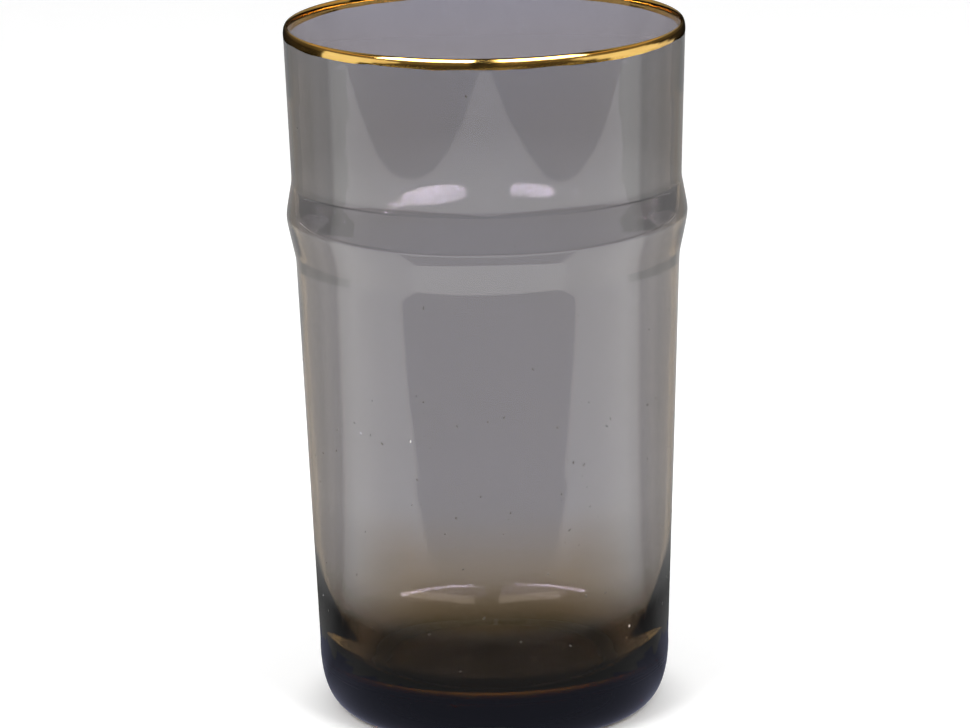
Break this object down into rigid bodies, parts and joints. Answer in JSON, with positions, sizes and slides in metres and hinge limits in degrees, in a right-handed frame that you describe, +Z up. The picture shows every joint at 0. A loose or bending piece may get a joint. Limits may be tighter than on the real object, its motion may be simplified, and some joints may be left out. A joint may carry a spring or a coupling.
{
  "type": "gold-rimmed drinking glass",
  "caption": "Tall tapered tumbler of smoked glass with a raised belt below the mouth, a heavy rounded base and a gold band fired over the lip.",
  "frame": {"origin": "middle of the standing face, on the table", "axes": "+Z up along the glass's axis of revolution, towards the mouth; X and Y are equal"},
  "size_m": [0.0804, 0.0804, 0.1411],
  "materials": {
    "smoked_glass": "fire-polished, smoke grey, amber brown where it is thick",
    "fired_gold": "bright fired gold, hand-banded and burnished"
  },
  "bodies": {
    "root": {"glass_body": "smoked_glass", "gold_rim": "fired_gold"}
  },
  "joints": []
}
